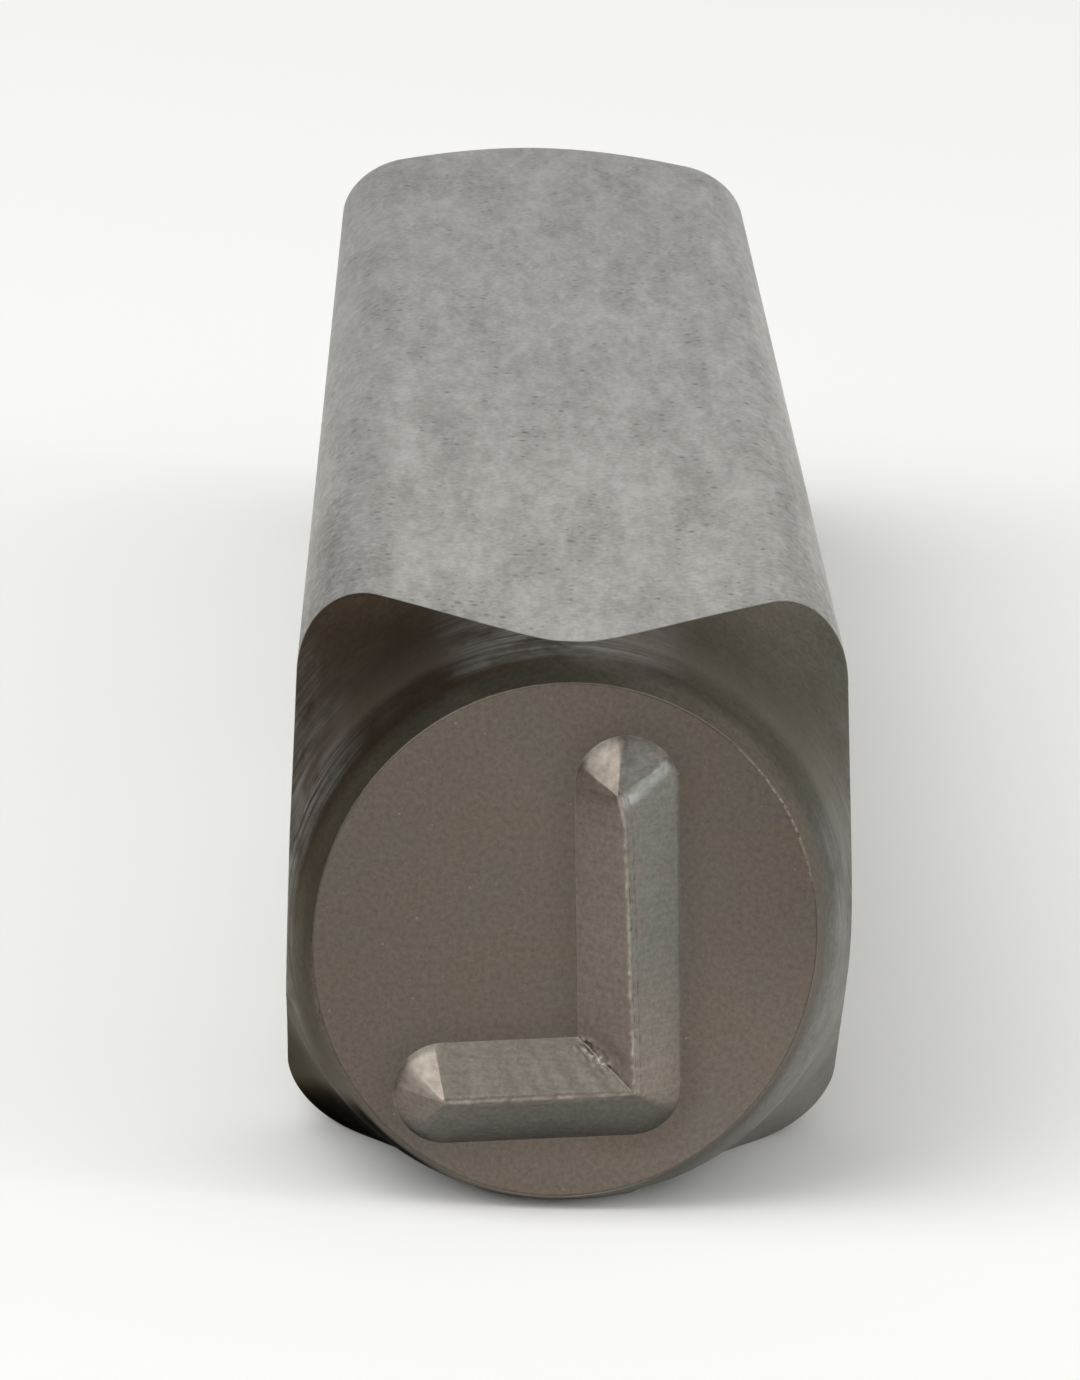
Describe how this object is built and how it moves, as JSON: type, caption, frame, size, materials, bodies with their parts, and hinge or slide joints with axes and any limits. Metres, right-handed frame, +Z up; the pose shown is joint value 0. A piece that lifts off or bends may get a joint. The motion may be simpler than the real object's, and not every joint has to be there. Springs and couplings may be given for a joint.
{
  "type": "letter stamp",
  "caption": "Hand letter stamp: square tool steel shank with rounded edges, turned round nose with a raised mirrored letter, and a tapered head with a flat struck face.",
  "frame": {"origin": "middle of the footprint of the stamp lying on one flat of its shank, on the surface that it lies on", "axes": "+Y along the shank from the letter to the struck face, +Z up, +X to the right of someone who looks at the letter"},
  "size_m": [0.01, 0.07, 0.01],
  "materials": {
    "tool_steel": "rolled and hardened tool steel, satin grey with fine lengthwise marks, darker on the turned nose"
  },
  "bodies": {
    "root": {"stamp_body": "tool_steel"}
  },
  "joints": []
}
